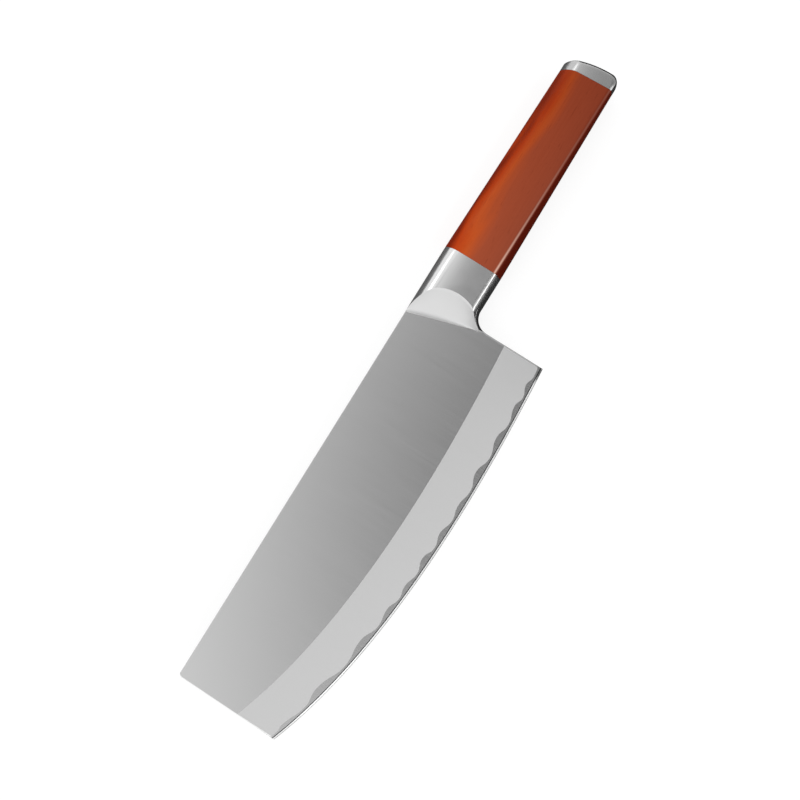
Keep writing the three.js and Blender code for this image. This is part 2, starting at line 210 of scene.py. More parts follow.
def ground_steel(name, base, roughness, line_spacing, line_depth):
    """Stainless steel ground across the blade: a satin sheen, with faint lines from spine to edge. The
    lines are drawn coarser than real ones, so that they show."""
    material, tree, shader = new_material(name)
    place = add_node(tree, "ShaderNodeTexCoord")
    drawn_out = add_node(
        tree, "ShaderNodeMapping",
        {"Vector": place.outputs["Object"], "Scale": (1, LINE_STRETCH, LINE_STRETCH)},
    )
    lines = add_node(tree, NOISE, {"Vector": drawn_out, "Scale": 1 / line_spacing, "Detail": 3.0})
    spread = {"To Min": roughness - GROUND_SPREAD, "To Max": roughness + GROUND_SPREAD}
    sheen = add_node(tree, MAP_RANGE, {"Value": lines, **NOISE_SPAN, **spread})
    bump = add_node(tree, "ShaderNodeBump", {"Height": lines, "Strength": 0.1, "Distance": line_depth})
    connect(
        tree, shader,
        {"Base Color": colour(base), "Metallic": 1.0, "Roughness": sheen, "Normal": bump},
    )
    return material


def polished_steel(name, base, roughness, wave_length):
    """Cast steel polished by hand on a wheel: a soft mirror, never quite even."""
    material, tree, shader = new_material(name)
    place = add_node(tree, "ShaderNodeTexCoord")
    cloud = add_node(
        tree, NOISE, {"Vector": place.outputs["Object"], "Scale": 1 / wave_length, "Detail": 4.0},
    )
    spread = {"To Min": roughness - POLISH_SPREAD, "To Max": roughness + POLISH_SPREAD}
    sheen = add_node(tree, MAP_RANGE, {"Value": cloud, **NOISE_SPAN, **spread})
    bump = add_node(
        tree, "ShaderNodeBump", {"Height": cloud, "Strength": 0.05, "Distance": POLISH_DEPTH},
    )
    connect(
        tree, shader,
        {"Base Color": colour(base), "Metallic": 1.0, "Roughness": sheen, "Normal": bump},
    )
    return material


# Tones of the wood from the back, at 0, to the belly: partly its own colour and partly painted light, a
# lighter band along the back and painted shade at the belly
WOOD_TONES_WITH_PAINTED_LIGHT = (
    (0.0, "#862204"),
    (0.1, "#BE3E0A"),
    (0.24, "#C65524"),
    (0.42, "#A64E32"),
    (0.82, "#9A4A32"),
    (0.9, "#5A1404"),
)
# Painted shade, which darkens the wood towards the cap
PAINTED_CAP_SHADE_TONE = "#6E2008"
PORE_TONE = "#4E1606"
# Colour of a painted highlight, pale along the lower arrises
PAINTED_HIGHLIGHT_TONE = "#F0C2AE"
PAINTED_CAP_SHADE_SHARE = 0.5  # share of the painted shade's tone that the wood takes on by the cap

# Patterns of the wood as (width, share of the fineness along the grain, detail)
WOOD_PATTERNS = {
    "figure": (10 * MM, 0.22, 2.0),
    "fibres": (0.7 * MM, 0.03, 4.0),
    "pores": (0.45 * MM, 0.1, 1.0),
}
FIGURE_SPAN = {"From Min": 0.25, "From Max": 0.75, "To Min": -0.16, "To Max": 0.16}
FIBRE_SPAN = {**NOISE_SPAN, "To Min": -0.04, "To Max": 0.04}
PORE_SPAN = {"From Min": 0.66, "From Max": 0.74, "To Max": 0.22}
PORE_DEPTH = 0.02 * MM


def lacquered_redwood():
    """Red hardwood, sanded fine and lacquered thin: warmer along the back, browner on the sides, with long
    quiet grain under a soft gloss. Its tone is partly its own and partly painted light: lighter along the
    back, with painted shade at the belly and towards the cap, and a painted highlight pale along the lower
    arrises. The pores are drawn coarser than real ones, so that they show."""
    material, tree, shader = new_material("lacquered_red_hardwood")
    place = add_node(tree, "ShaderNodeTexCoord").outputs["Object"]
    pattern = {}
    for name, (width, stretch, detail) in WOOD_PATTERNS.items():
        drawn_out = add_node(tree, "ShaderNodeMapping", {"Vector": place, "Scale": (stretch, 1, 1)})
        pattern[name] = add_node(
            tree, NOISE, {"Vector": drawn_out, "Scale": 1 / width, "Detail": detail},
        )

    # The tone follows the height, lighter along the back as painted light and darker at the belly as
    # painted shade, and wanders with the figure, least at the belly
    point = add_node(tree, "ShaderNodeSeparateXYZ", {0: place}).outputs
    back_to_belly = {"From Min": DATUM.y + REAR["top"] / 2, "From Max": DATUM.y - FRONT["height"]}
    down = add_node(tree, MAP_RANGE, {"Value": point["Y"], **back_to_belly})
    wander = add_node(tree, MAP_RANGE, {"Value": pattern["figure"], **FIGURE_SPAN})
    up = add_node(tree, MATH, {0: 1.0, 1: down}, operation="SUBTRACT")
    tone = add_node(tree, MATH, {0: wander, 1: up, 2: down}, operation="MULTIPLY_ADD")
    ramp = add_node(tree, "ShaderNodeValToRGB", {"Fac": tone})
    stops = ramp.color_ramp.elements
    for _ in WOOD_TONES_WITH_PAINTED_LIGHT[2:]:
        stops.new(1.0)
    for stop, (position, code) in zip(stops, WOOD_TONES_WITH_PAINTED_LIGHT):
        stop.position = position
        stop.color = colour(code)

    # Painted shade darkens it towards the cap; fibres and pores go on top, and a painted highlight runs
    # pale along the lower arrises
    grip_length = {"From Min": GRIP_LOW.x, "From Max": GRIP_HIGH.x, "To Max": PAINTED_CAP_SHADE_SHARE}
    painted_cap_shade = add_node(tree, MAP_RANGE, {"Value": point["X"], **grip_length})
    fibre = add_node(tree, MAP_RANGE, {"Value": pattern["fibres"], **FIBRE_SPAN})
    shade = add_node(tree, MATH, {0: painted_cap_shade, 1: fibre}, operation="ADD", use_clamp=True)
    in_pore = add_node(tree, MAP_RANGE, {"Value": pattern["pores"], **PORE_SPAN})
    arris_highlight = add_node(tree, "ShaderNodeAttribute", attribute_name="arris_highlight").outputs["Fac"]
    wood = ramp.outputs["Color"]
    for share, code in ((shade, PAINTED_CAP_SHADE_TONE), (in_pore, PORE_TONE), (arris_highlight, PAINTED_HIGHLIGHT_TONE)):
        mix = add_node(tree, MIX, {0: share, 6: wood, 7: colour(code)}, data_type="RGBA")
        wood = mix.outputs["Result"]
    bump = add_node(
        tree, "ShaderNodeBump", {"Height": in_pore, "Strength": 0.3, "Distance": PORE_DEPTH}, invert=True,
    )
    connect(
        tree, shader,
        {
            "Base Color": wood,
            "Roughness": 0.36,
            "IOR": 1.5,
            "Specular IOR Level": 0.05,
            "Normal": bump,
        },
    )
    return material


RESIN_CLOUD = 6 * MM
RESIN_TONES = ("#7A6438", "#A08A57")


def cured_resin():
    """Amber epoxy cast round the tang: slightly cloudy, with a dull skin."""
    material, tree, shader = new_material("cured_amber_resin")
    place = add_node(tree, "ShaderNodeTexCoord")
    cloud = add_node(tree, NOISE, {"Vector": place.outputs["Object"], "Scale": 1 / RESIN_CLOUD})
    ramp = add_node(tree, "ShaderNodeValToRGB", {"Fac": cloud})
    for stop, code in zip(ramp.color_ramp.elements, RESIN_TONES):
        stop.color = colour(code)
    connect(tree, shader, {"Base Color": ramp, "Roughness": 0.45, "IOR": 1.55})
    return material


# The flats mirror the light tent softly, and the coarser bevel scatters it and looks paler
SATIN_FLAT = ground_steel("satin_stainless_flat", "#E0E0E0", 0.24, 0.35 * MM, 0.006 * MM)
GROUND_BEVEL = ground_steel("ground_stainless_bevel", "#DCDCDC", 0.52, 0.25 * MM, 0.01 * MM)
# The strip below the laminate line is a smoother mirror. A dark line of painted shade parts it from the
# bright sharpened bevel, whose last turn is darkened with painted shade.
CORE_STRIP = ground_steel("etched_core_steel", "#E0E0E0", 0.26, 0.25 * MM, 0.006 * MM)
PAINTED_SHADE_LINE = ground_steel("painted_shade_line_steel", "#3E3E3E", 0.3, 0.2 * MM, 0.006 * MM)
# Painted shade: the edge's last turn is darker, as a grey outline along the edge
PAINTED_EDGE_SHADE = ground_steel("painted_edge_shade_steel", "#8C8C8C", 0.5, 0.2 * MM, 0.006 * MM)
HONED_EDGE = ground_steel("honed_core_edge", "#F0F0F0", 0.14, 0.2 * MM, 0.003 * MM)
# The bolster shines beside its pale, softer scoops, and the cap is a darker mirror
CAST_STEEL = polished_steel("polished_cast_steel", "#DEDEDE", 0.22, 5 * MM)
SCOOP_STEEL = polished_steel("satin_cast_steel", "#DEDEDE", 0.42, 5 * MM)
CAP_STEEL = polished_steel("polished_cap_steel", "#BEBEBE", 0.24, 5 * MM)
# Rod, washer and nut keep the dull grey of the lathe
TURNED_STEEL = polished_steel("turned_mild_steel", "#9A9C9F", 0.4, 1 * MM)
REDWOOD = lacquered_redwood()
RESIN = cured_resin()


def add_piece(node, mesh, crease):
    """Shades a mesh smoothly up to its creases, and lets it stand for a CAD node."""
    piece = bpy.data.objects.new(node + "_look", mesh)
    bpy.context.scene.collection.objects.link(piece)
    mesh.shade_smooth()
    mesh.set_sharp_from_angle(angle=math.radians(crease))
    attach(piece, "root")
    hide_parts(node)


def lofted_mesh(name, rings, material):
    """A closed skin through rings with equal point counts, given from the datum."""
    count = len(rings[0])
    points = [DATUM + Vector(p) for ring in rings for p in ring]
    faces = []
    for ring in range(len(rings) - 1):
        for i in range(count):
            a = ring * count + i
            b = ring * count + (i + 1) % count
            faces.append((a, b, b + count, a + count))
    last = len(points) - count
    faces.append(tuple(reversed(range(count))))
    faces.append(tuple(range(last, last + count)))
    mesh = bpy.data.meshes.new(name)
    mesh.from_pydata(points, [], faces)
    mesh.materials.append(material)
    return mesh


# Blade: each layer is a block of rows and columns, whose rows follow the lines of the grinding

TALLEST_WAVE = 10 * MM  # the top of the wave's curve
WELD_TOLERANCE = 0.01 * MM
MERGE_DISTANCE = 1e-5  # of the block's corners, before it is shaped
BLADE_CREASE = 1.2  # degrees: even the shallow bevels meet in crisp lines


def edge_control():
    """Where the edge's directions at the heel and at the tip cross."""
    heel_slope = math.tan(HEEL_EDGE_ANGLE)
    tip_slope = math.tan(TIP_EDGE_ANGLE)
    reach = (tip_slope * BLADE_LENGTH + TIP_HEIGHT - HEEL_HEIGHT) / (tip_slope + heel_slope)
    return -reach, -HEEL_HEIGHT - heel_slope * reach, 0


BLADE_SIZES = {
    "Datum": tuple(DATUM),
    "Edge At Tip": (-BLADE_LENGTH, -TIP_HEIGHT, 0),
    "Edge Control": edge_control(),
    "Edge At Heel": (0, -HEEL_HEIGHT, 0),
    "Length": BLADE_LENGTH,
    "Half Thickness": BLADE_HALF,
    "Core Half": CORE_HALF,
    "Spine Ease": SPINE_EASE,
    "End Ease": END_EASE,
    "End Inset": END_INSET,
    "Tip Height": TIP_HEIGHT,
    "Tip Slope": math.tan(TIP_LEAN),
    "Tip Corner": TIP_CORNER_RADIUS,
    "Weld Setback": WELD_SETBACK,
    "Weld Slope": -math.tan(WELD_ANGLE),
    "Weld Foot": -WELD_SETBACK / math.tan(WELD_ANGLE),
    "Bevel Width": BEVEL_WIDTH,
    "Edge Bevel Width": EDGE_BEVEL_WIDTH,
    "Edge Round": EDGE_ROUND,
    "Half Behind Edge": HALF_BEHIND_EDGE,
    "Half Edge Land": HALF_EDGE_LAND,
    "Burr Width": BURR_WIDTH,
    "Burr Half": BURR_HALF,
}

# Finishes from the spine down. Each but the first starts at a row, counted up from the lowest one.
CORE_FINISHES = (CORE_STRIP, PAINTED_SHADE_LINE, HONED_EDGE, PAINTED_EDGE_SHADE)
CORE_FINISH_ROWS = (3, 2, 1)
CLADDING_FINISHES = (SATIN_FLAT, GROUND_BEVEL, HONED_EDGE)  # the last one is for the eased ends
CLADDING_FINISH_ROWS = (1,)


def laminate_knots():
    """The laminate line from tip to heel, as (share of the length, height)."""
    crests = [(1 - x * MM / BLADE_LENGTH, height * MM) for x, height in reversed(LAMINATE_CRESTS)]
    starts = [0] + [x for x, _ in crests[:-1]]
    knots = []
    for start, (x, height) in zip(starts, crests):
        knots += [((start + x) / 2, LAMINATE_TROUGH * MM), (x, height)]
    return knots


def add_laminate_line(tree, share):
    """The laminate line's height above the edge, at a share of the length."""
    line = add_node(tree, "ShaderNodeFloatCurve", {"Value": share})
    curve = line.mapping.curves[0]
    knots = laminate_knots()
    curve.points[0].location = (0, LAMINATE_TROUGH * MM / TALLEST_WAVE)
    curve.points[1].location = (1, knots[-1][1] / TALLEST_WAVE)
    for x, height in knots[:-1]:
        curve.points.new(x, height / TALLEST_WAVE)
    line.mapping.update()
    return add_node(tree, MATH, {0: line, 1: TALLEST_WAVE}, operation="MULTIPLY")


def add_edge(tree, size, along):
    """The cutting edge under each column: its height, and its share of the length."""
    edge = add_node(
        tree, "GeometryNodeCurveQuadraticBezier",
        {
            "Resolution": STATIONS,
            "Start": size["Edge At Tip"],
            "Middle": size["Edge Control"],
            "End": size["Edge At Heel"],
        },
    )
    sample = add_node(tree, "GeometryNodeSampleCurve", {"Curves": edge, "Factor": along}, mode="FACTOR")
    on_edge = add_node(tree, "ShaderNodeSeparateXYZ", {0: sample.outputs["Position"]}).outputs
    share = add_node(tree, MATH, {0: on_edge["X"], 1: size["Length"]}, operation="DIVIDE")
    share = add_node(tree, MATH, {0: share, 1: 1.0}, operation="ADD")
    return on_edge["Y"], share


def add_flat_lines(tree, size, edge_y):
    """Heights of the lines across the flat: ease, tip corner, the weld's foot, and the bevel's top."""
    bevel_y = add_node(tree, MATH, {0: edge_y, 1: size["Bevel Width"]}, operation="ADD")
    ease_y = add_node(tree, MATH, {0: size["Spine Ease"], 1: -1.0}, operation="MULTIPLY")
    half_corner_y = add_node(tree, MATH, {0: size["Tip Corner"], 1: -0.5}, operation="MULTIPLY")
    corner_y = add_node(tree, MATH, {0: size["Tip Corner"], 1: -1.0}, operation="MULTIPLY")
    above_bevel_y = add_node(tree, MATH, {0: bevel_y, 1: ROW_GAP}, operation="ADD")
    foot_y = add_node(tree, MATH, {0: above_bevel_y, 1: size["Weld Foot"]}, operation="MAXIMUM")
    return ease_y, half_corner_y, corner_y, foot_y, bevel_y


def bevel_span(size):
    """The wide bevel's half thickness over its height above the edge."""
    return {
        "From Min": size["Edge Bevel Width"],
        "From Max": size["Bevel Width"],
        "To Min": size["Half Behind Edge"],
        "To Max": size["Half Thickness"],
    }


def add_cladding_rows(tree, size, edge_y, wave):
    """A cladding's rows as (height, half thickness), from the spine to the laminate line."""
    flat = size["Half Thickness"]
    eased = add_node(tree, MATH, {0: flat, 1: size["Spine Ease"]}, operation="SUBTRACT")
    wave_y = add_node(tree, MATH, {0: edge_y, 1: wave}, operation="ADD")
    wave_half = add_node(tree, MAP_RANGE, {"Value": wave, **bevel_span(size)})
    rows = [(0.0, eased)]
    rows += [(y, flat) for y in add_flat_lines(tree, size, edge_y)]
    rows += [(wave_y, wave_half)]
    return rows


def add_core_rows(tree, size, edge_y, wave):
    """The core's rows as (height, half thickness), from the spine to the land of the edge."""
    wave_y = add_node(tree, MATH, {0: edge_y, 1: wave}, operation="ADD")
    wave_half = add_node(tree, MAP_RANGE, {"Value": wave, **bevel_span(size)})
    round_sizes = {0: size["Edge Bevel Width"], 1: size["Edge Round"]}
    round_top = add_node(tree, MATH, round_sizes, operation="ADD")
    round_top_y = add_node(tree, MATH, {0: edge_y, 1: round_top}, operation="ADD")
    round_top_half = add_node(tree, MAP_RANGE, {"Value": round_top, **bevel_span(size)})
    round_foot = add_node(tree, MATH, round_sizes, operation="SUBTRACT")
    round_foot_y = add_node(tree, MATH, {0: edge_y, 1: round_foot}, operation="ADD")
    edge_bevel_span = {
        "From Min": size["Burr Width"],
        "From Max": size["Edge Bevel Width"],
        "To Min": size["Burr Half"],
        "To Max": size["Half Behind Edge"],
    }
    round_foot_half = add_node(tree, MAP_RANGE, {"Value": round_foot, **edge_bevel_span})
    burr_y = add_node(tree, MATH, {0: edge_y, 1: size["Burr Width"]}, operation="ADD")
    *flat_lines, _ = add_flat_lines(tree, size, edge_y)
    rows = [(y, size["Core Half"]) for y in (0.0, *flat_lines, wave_y)]
    rows += [(wave_y, wave_half), (round_top_y, round_top_half), (round_foot_y, round_foot_half)]
    rows += [(burr_y, size["Burr Half"]), (edge_y, size["Half Edge Land"])]
    return rows


def add_row_choice(tree, rows, row):
    """The height and the half thickness of the row that a point lies on."""
    chosen = []
    for values in zip(*rows):
        switch = add_node(tree, "GeometryNodeIndexSwitch", {"Index": row}, data_type="FLOAT")
        for _ in values[2:]:
            switch.index_switch_items.new()
        connect(tree, switch, dict(enumerate(values, 1)))
        chosen.append(switch)
    return chosen


def add_tip(tree, size, y):
    """The tip's place at a height: it leans, and its corner by the spine is round."""
    above_edge = add_node(tree, MATH, {0: y, 1: size["Tip Height"]}, operation="ADD")
    lean = add_node(tree, MATH, {0: above_edge, 1: size["Tip Slope"]}, operation="MULTIPLY")
    rise = add_node(tree, MATH, {0: y, 1: size["Tip Corner"]}, operation="ADD")
    rise = add_node(tree, MATH, {0: rise, 1: 0.0}, operation="MAXIMUM")
    rise_squared = add_node(tree, MATH, {0: rise, 1: rise}, operation="MULTIPLY")
    corner_squared = add_node(tree, MATH, {0: size["Tip Corner"], 1: 2.0}, operation="POWER")
    run_squared = add_node(tree, MATH, {0: corner_squared, 1: rise_squared}, operation="SUBTRACT")
    run = add_node(tree, MATH, {0: run_squared}, operation="SQRT")
    round_off = add_node(tree, MATH, {0: size["Tip Corner"], 1: run}, operation="SUBTRACT")
    from_tip = add_node(tree, MATH, {0: lean, 1: round_off}, operation="ADD")
    return add_node(tree, MATH, {0: from_tip, 1: size["Length"]}, operation="SUBTRACT")


def add_block(tree, row_count):
    """A grid of columns and rows, closed to a block."""
    grid = add_node(
        tree, "GeometryNodeMeshGrid",
        {"Size X": 1.0, "Size Y": 1.0, "Vertices X": STATIONS, "Vertices Y": row_count},
    )
    raised = add_node(
        tree, "GeometryNodeExtrudeMesh",
        {"Mesh": grid, "Offset": (0, 0, 1), "Offset Scale": 1.0, "Individual": False}, mode="FACES",
    )
    bottom = add_node(tree, "GeometryNodeFlipFaces", {"Mesh": grid})
    block = add_node(tree, "GeometryNodeJoinGeometry", {0: raised})
    connect(tree, block, {0: bottom})
    return add_node(
        tree, "GeometryNodeMergeByDistance", {"Geometry": block, "Distance": MERGE_DISTANCE},
    )


def layer_tree(name, is_core, side):
    """The nodes of one layer. Side is 1 for the upper cladding and -1 for the lower one."""
    tree = bpy.data.node_groups.new(name, "GeometryNodeTree")
    tree.interface.new_socket("Geometry", in_out="OUTPUT", socket_type="NodeSocketGeometry")
    for label, value in BLADE_SIZES.items():
        kind = "NodeSocketVector" if isinstance(value, tuple) else "NodeSocketFloat"
        tree.interface.new_socket(label, in_out="INPUT", socket_type=kind)
    size = add_node(tree, "NodeGroupInput").outputs

    # Each point's column and row in the block
    place = add_node(tree, "GeometryNodeInputPosition")
    cell = add_node(tree, "ShaderNodeSeparateXYZ", {0: place}).outputs
    column = add_node(tree, MATH, {0: cell["X"], 1: 0.5}, operation="ADD")
    turn = add_node(tree, MATH, {0: cell["X"], 1: math.tau}, operation="MULTIPLY")
    crowding = add_node(tree, MATH, {0: turn}, operation="SINE")
    along = add_node(
        tree, MATH, {0: crowding, 1: END_CROWDING / math.tau, 2: column}, operation="MULTIPLY_ADD",
    )
    edge_y, share = add_edge(tree, size, along)
    wave = add_laminate_line(tree, share)
    add_rows = add_core_rows if is_core else add_cladding_rows
    rows = add_rows(tree, size, edge_y, wave)
    across = add_node(tree, MATH, {0: 0.5, 1: cell["Y"]}, operation="SUBTRACT")
    exact_row = add_node(tree, MATH, {0: across, 1: len(rows) - 1.0}, operation="MULTIPLY")
    row = add_node(tree, MATH, {0: exact_row}, operation="ROUND")
    y, half = add_row_choice(tree, rows, row)

    # Along the blade: from the tip to the weld, and below it to the heel
    left = add_tip(tree, size, y)
    weld = add_node(tree, MATH, {0: y, 1: size["Weld Slope"]}, operation="MULTIPLY")
    weld = add_node(tree, MATH, {0: weld, 1: size["Weld Setback"]}, operation="SUBTRACT")
    right = add_node(tree, MATH, {0: weld, 1: 0.0}, operation="MINIMUM")
    x = add_node(tree, MAP_RANGE, {"Value": share, "To Min": left, "To Max": right})

    # The claddings' ends are eased and lean in at the tip and at the heel, but not at the weld
    at_tip = add_node(tree, MATH, {0: column, 1: END_REACH}, operation="LESS_THAN")
    at_end = add_node(tree, MATH, {0: column, 1: 1 - END_REACH}, operation="GREATER_THAN")
    below_weld = add_node(tree, MATH, {0: weld, 1: WELD_TOLERANCE}, operation="GREATER_THAN")
    at_heel = add_node(tree, MATH, {0: at_end, 1: below_weld}, operation="MULTIPLY")
    end = add_node(tree, MATH, {0: at_tip, 1: at_heel}, operation="MAXIMUM")
    if not is_core:
        outward = cell["Z"]
        if side < 0:
            outward = add_node(tree, MATH, {0: 1.0, 1: cell["Z"]}, operation="SUBTRACT")
        inward = add_node(tree, MATH, {0: at_tip, 1: at_heel}, operation="SUBTRACT")
        inward = add_node(tree, MATH, {0: inward, 1: outward}, operation="MULTIPLY")
        inset = add_node(tree, MATH, {0: inward, 1: size["End Inset"]}, operation="MULTIPLY")
        x = add_node(tree, MATH, {0: x, 1: inset}, operation="ADD")

    # Across the thickness
    core = size["Core Half"]
    taken_off = add_node(tree, MATH, {0: end, 1: size["End Ease"]}, operation="MULTIPLY")
    outer = add_node(tree, MAP_RANGE, {"Value": taken_off, "To Min": half, "To Max": core})
    minus_outer = add_node(tree, MATH, {0: outer, 1: -1.0}, operation="MULTIPLY")
    minus_core = add_node(tree, MATH, {0: core, 1: -1.0}, operation="MULTIPLY")
    if is_core:
        bottom, top = minus_outer, outer
    elif side > 0:
        bottom, top = core, outer
    else:
        bottom, top = minus_outer, minus_core
    z = add_node(tree, MAP_RANGE, {"Value": cell["Z"], "To Min": bottom, "To Max": top})
    point = add_node(tree, "ShaderNodeCombineXYZ", {"X": x, "Y": y, "Z": z})
    position = add_node(tree, VECTOR_MATH, {0: point, 1: size["Datum"]}, operation="ADD")

    # Each face is marked with the number of its finish, before the block is set to its shape
    finishes = CORE_FINISHES if is_core else CLADDING_FINISHES
    mark = 0.0
    for rows_up in CORE_FINISH_ROWS if is_core else CLADDING_FINISH_ROWS:
        start = len(rows) - 1.0 - rows_up
        past = add_node(tree, MATH, {0: exact_row, 1: start}, operation="GREATER_THAN")
        mark = add_node(tree, MATH, {0: mark, 1: past}, operation="ADD")
    if not is_core:
        last = len(finishes) - 1.0
        mark = add_node(tree, MATH, {0: end, 1: last, 2: mark}, operation="MULTIPLY_ADD")
        mark = add_node(tree, MATH, {0: mark, 1: last}, operation="MINIMUM")
    marked = add_node(
        tree, "GeometryNodeStoreNamedAttribute",
        {"Geometry": add_block(tree, len(rows)), "Name": "finish", "Value": mark},
        data_type="INT", domain="FACE",
    )
    shaped = add_node(tree, "GeometryNodeSetPosition", {"Geometry": marked, "Position": position})
    dressed = add_node(tree, "GeometryNodeRealizeInstances", {"Geometry": shaped})
    finish = add_node(tree, "GeometryNodeInputNamedAttribute", {"Name": "finish"}, data_type="INT")
    for number, material in enumerate(finishes):
        chosen = add_node(tree, MATH, {0: finish, 1: number, 2: 0.5}, operation="COMPARE")
        dressed = add_node(
            tree, "GeometryNodeSetMaterial",
            {"Geometry": dressed, "Selection": chosen, "Material": material},
        )
    add_node(tree, "NodeGroupOutput", {"Geometry": dressed})
    return tree


def make_blade_layer(name, is_core=False, side=1):
    """Runs a layer's tree and keeps its mesh."""
    holder = bpy.data.objects.new(name + "_block", bpy.data.meshes.new(name + "_block"))
    bpy.context.scene.collection.objects.link(holder)
    modifier = holder.modifiers.new("layer", "NODES")
    modifier.node_group = layer_tree(name, is_core, side)
    for socket in modifier.node_group.interface.items_tree:
        if socket.in_out == "INPUT":
            modifier[socket.identifier] = BLADE_SIZES[socket.name]
    graph = bpy.context.evaluated_depsgraph_get()
    mesh = bpy.data.meshes.new_from_object(holder.evaluated_get(graph))
    mesh.attributes.remove(mesh.attributes["finish"])
    bpy.data.objects.remove(holder)
    add_piece(name, mesh, BLADE_CREASE)


# Handle section, shared by the bolster, the grip and the end cap

HANDLE_CREASE = 30  # degrees


def section_at(x):
    """The handle's section, by its distance behind the heel."""
    share = min(max((x - BOLSTER_LENGTH) / GRIP_LENGTH, 0), 1)
    return {key: FRONT[key] * (1 - share) + REAR[key] * share for key in FRONT}


def round_in(section, across):
    """How far an outline draws in where the underside or the scoop turns into the flat side."""
    into = max(across * section["belly"] - (section["belly"] - ARRIS_DEPTH), 0) / ARRIS_DEPTH
    return ARRIS_RISE * into ** ARRIS_POWER


def top_at(section, across):
    """Height of the top crown. Across runs from 0 in the middle to 1 at the flat side."""
    level = (1 - across ** section["power"]) ** (1 / section["power"])
    return section["top"] - SHOULDER_DROP * (1 - level)


def crown_at(section, across):
    """Rise of the underside from its lowest line to the flat side."""
    return section["sag"] * across ** 2 + round_in(section, across)


def half_at(section, y):
    """Half thickness at a height: the sides curve in slowly from the lower arris upwards."""
    arris = section["top"] - section["height"] + section["sag"] + ARRIS_RISE
    shoulder = section["top"] - SHOULDER_DROP
    share = max((y - arris) / (shoulder - arris), 0)
    return section["belly"] - (section["belly"] - section["shoulder"]) * share ** SIDE_POWER


def cap_joint_lean(y):
    """How far the joint of wood and cap stands back, at a height."""
    return (REAR["top"] - REAR["height"] / 2 - y) * math.tan(CAP_JOINT_LEAN)


def half_turn(steps):
    """Sines of a half turn, which crowd towards -1 and 1."""
    return np.sin(np.linspace(-math.pi / 2, math.pi / 2, steps))


def quarter_turn(steps):
    """Sines of a quarter turn, which crowd towards 1."""
    return np.sin(np.linspace(0, math.pi / 2, steps))


def mirrored(rings):
    """The rings of the other side, from the far end back to the middle."""
    return [[(x, y, -z) for x, y, z in ring] for ring in reversed(rings)]


def filled_side(rim, section):
    """Rings that close a flat side, drawn in from its rim towards its middle."""
    outline = np.array([(x, y) for x, y, _ in rim])
    middle = outline.mean(axis=0)
    rings = []
    for share in np.linspace(0, 1, FILL_RINGS + 2)[1:-1] ** 2:
        inner = middle + (outline - middle) * (1 - share)
        rings.append([(x, y, half_at(section, y)) for x, y in inner])
    return rings


# Grip

def grip_ring(x, ease):
    """The grip's outline at a distance behind the heel, drawn in by the ease."""
    section = section_at(x)
    middle = section["top"] - section["height"] / 2
    bottom = section["top"] - section["height"]
    crown = []
    for turn in half_turn(CROWN_POINTS):
        across = abs(turn) ** (2 / section["power"])
        y = top_at(section, across)
        crown.append((y, math.copysign(across * half_at(section, y), turn)))
    shoulder = section["top"] - SHOULDER_DROP
    arris = bottom + section["sag"] + ARRIS_RISE
    side = [(y, half_at(section, y)) for y in np.linspace(shoulder, arris, SIDE_POINTS)[1:-1]]
    belly = [
        (bottom + crown_at(section, abs(across)), across * half_at(section, bottom))
        for across in -half_turn(BELLY_POINTS)
    ]
    other_side = [(y, -z) for y, z in reversed(side)]
    outline = crown + side + belly + other_side
    share = (x - BOLSTER_LENGTH) / GRIP_LENGTH
    return [
        (
            x + share * cap_joint_lean(y),
            y - math.copysign(ease, y - middle),
            z * (1 - ease / section["belly"]),
        )
        for y, z in outline
    ]


def arris_painted_highlight(x, y, z):
    """How bright the painted highlight is along the lower arrises: most by the bolster, least by the cap.
    """
    section = section_at(x)
    arris = section["top"] - section["height"] + section["sag"] + HIGHLIGHT_LIFT
    nearness = 1 - abs(y - arris) / HIGHLIGHT_REACH
    if nearness < 0 or abs(z) < section["belly"] / 2:
        return 0.0
    towards_bolster = min(max(1 - (x - BOLSTER_LENGTH) / GRIP_LENGTH, 0), 1)
    return nearness * (HIGHLIGHT_AT_CAP + (1 - HIGHLIGHT_AT_CAP) * towards_bolster ** HIGHLIGHT_FADE)


def make_grip():
    """The wood, from ring to ring between the two joints, with its painted highlight along the lower
    arrises.
    """
    stations = np.linspace(BOLSTER_LENGTH + JOINT_EASE, CAP_START - JOINT_EASE, GRIP_RINGS)
    rings = [grip_ring(BOLSTER_LENGTH, JOINT_EASE)]
    rings += [grip_ring(x, 0) for x in stations]
    rings += [grip_ring(CAP_START, JOINT_EASE)]
    mesh = lofted_mesh("grip_wood", rings, REDWOOD)
    # The painted highlight along the lower arrises, point by point
    arris_highlight = mesh.attributes.new("arris_highlight", "FLOAT", "POINT")
    arris_highlight.data.foreach_set("value", [arris_painted_highlight(*point) for ring in rings for point in ring])
    add_piece("grip", mesh, HANDLE_CREASE)


# Bolster

SCOOP_FIRST = 2  # points of a ring before the scoop


def weld_at(y):
    """The weld line's place at a height."""
    return -WELD_SETBACK - y * math.tan(WELD_ANGLE)


def scoop_at(y, depth):
    """The scoop's front at a height: from the weld (depth 0) to its rim on the flat side (depth 1)."""
    rim = -ARCH_FORWARD + math.sqrt(max(ARCH_RADIUS ** 2 - (y + ARCH_DROP) ** 2, 0))
    return weld_at(y) * (1 - depth) + max(rim, weld_at(y)) * depth


def scoop_across(depth):
    """How far out a level of the scoop lies, as a share of the half thickness at the belly."""
    if depth > WELD_BLEND:
        started = depth - WELD_BLEND / 2
    else:
        started = depth ** 2 / (2 * WELD_BLEND)
    started /= 1 - WELD_BLEND / 2
    rise = SCOOP_START * started + (1 - SCOOP_START) * depth ** 2
    return (BLADE_HALF + (FRONT["belly"] - BLADE_HALF) * rise) / FRONT["belly"]


